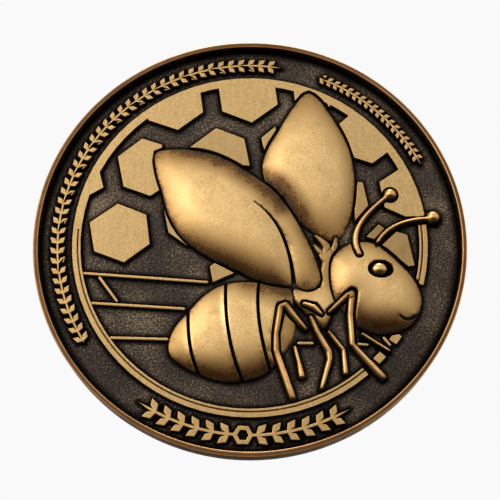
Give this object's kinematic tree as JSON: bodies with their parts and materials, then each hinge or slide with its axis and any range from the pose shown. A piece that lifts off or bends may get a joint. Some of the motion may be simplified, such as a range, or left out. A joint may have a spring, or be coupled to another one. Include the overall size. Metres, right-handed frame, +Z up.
{
  "type": "challenge coin",
  "caption": "Round die-struck medal with a raised lip, a bee and honeycomb relief on one face and a bee badge over ornament rows on the other.",
  "frame": {"origin": "centre of the coin, halfway through its thickness", "axes": "coin stands on its edge; -Y out of the obverse face, +Y out of the reverse face, +Z up the picture"},
  "size_m": [0.0444, 0.003, 0.0444],
  "materials": {
    "relief_gold": "antique, satin, rubbed bright on the high relief",
    "badge_gold": "antique, satin",
    "antique_field": "antique, stippled, dark patina",
    "edge_bronze": "antique, satin, copper on the worn edges"
  },
  "bodies": {
    "root": {"abdomen_fourth": "relief_gold", "abdomen_second": "relief_gold", "abdomen_tail": "relief_gold", "abdomen_third": "relief_gold", "antenna_far": "relief_gold", "antenna_near": "relief_gold", "badge_body": "badge_gold", "badge_tail": "badge_gold", "blank": "antique_field", "cell_behind_antenna": "relief_gold", "cell_behind_head": "relief_gold", "cell_between_wings": "relief_gold", "cell_corner_low": "relief_gold", "cell_left": "relief_gold", "cell_ring_left": "relief_gold", "cell_ring_right": "relief_gold", "cell_ring_top": "relief_gold", "cell_ring_upper_left": "relief_gold", "cell_ring_upper_right": "relief_gold", "cell_sliver_left": "relief_gold", "cell_sliver_right": "relief_gold", "cell_sliver_top": "relief_gold", "cell_wedge_left_of_tip": "relief_gold", "cell_wedge_right_of_tip": "relief_gold", "cell_wing_tip": "relief_gold", "eye": "relief_gold", "far_wing": "relief_gold", "garland_base": "relief_gold", "garland_side": "relief_gold", "garland_upper": "relief_gold", "head": "relief_gold", "leg_far_front": "relief_gold", "leg_front": "relief_gold", "leg_hind": "relief_gold", "leg_middle": "relief_gold", "leg_small": "relief_gold", "leg_thin": "relief_gold", "near_fore_wing": "relief_gold", "near_hind_wing": "relief_gold", "reverse_row_1": "badge_gold", "reverse_row_2": "badge_gold", "reverse_row_3": "badge_gold", "reverse_row_4": "badge_gold", "reverse_row_5": "badge_gold", "reverse_row_6": "badge_gold", "rim": "edge_bronze", "ring_claw_stub": "relief_gold", "ring_lower_stub": "relief_gold", "ring_main": "relief_gold", "ring_right_end": "relief_gold", "rule_behind_legs": "relief_gold", "rule_beside_claw": "relief_gold", "rule_by_front_leg": "relief_gold", "rule_lower": "relief_gold", "rule_middle": "relief_gold", "rule_slant": "relief_gold", "rule_upper": "relief_gold", "thigh_middle": "relief_gold", "thorax": "relief_gold", "thorax_tuft": "relief_gold"}
  },
  "joints": []
}
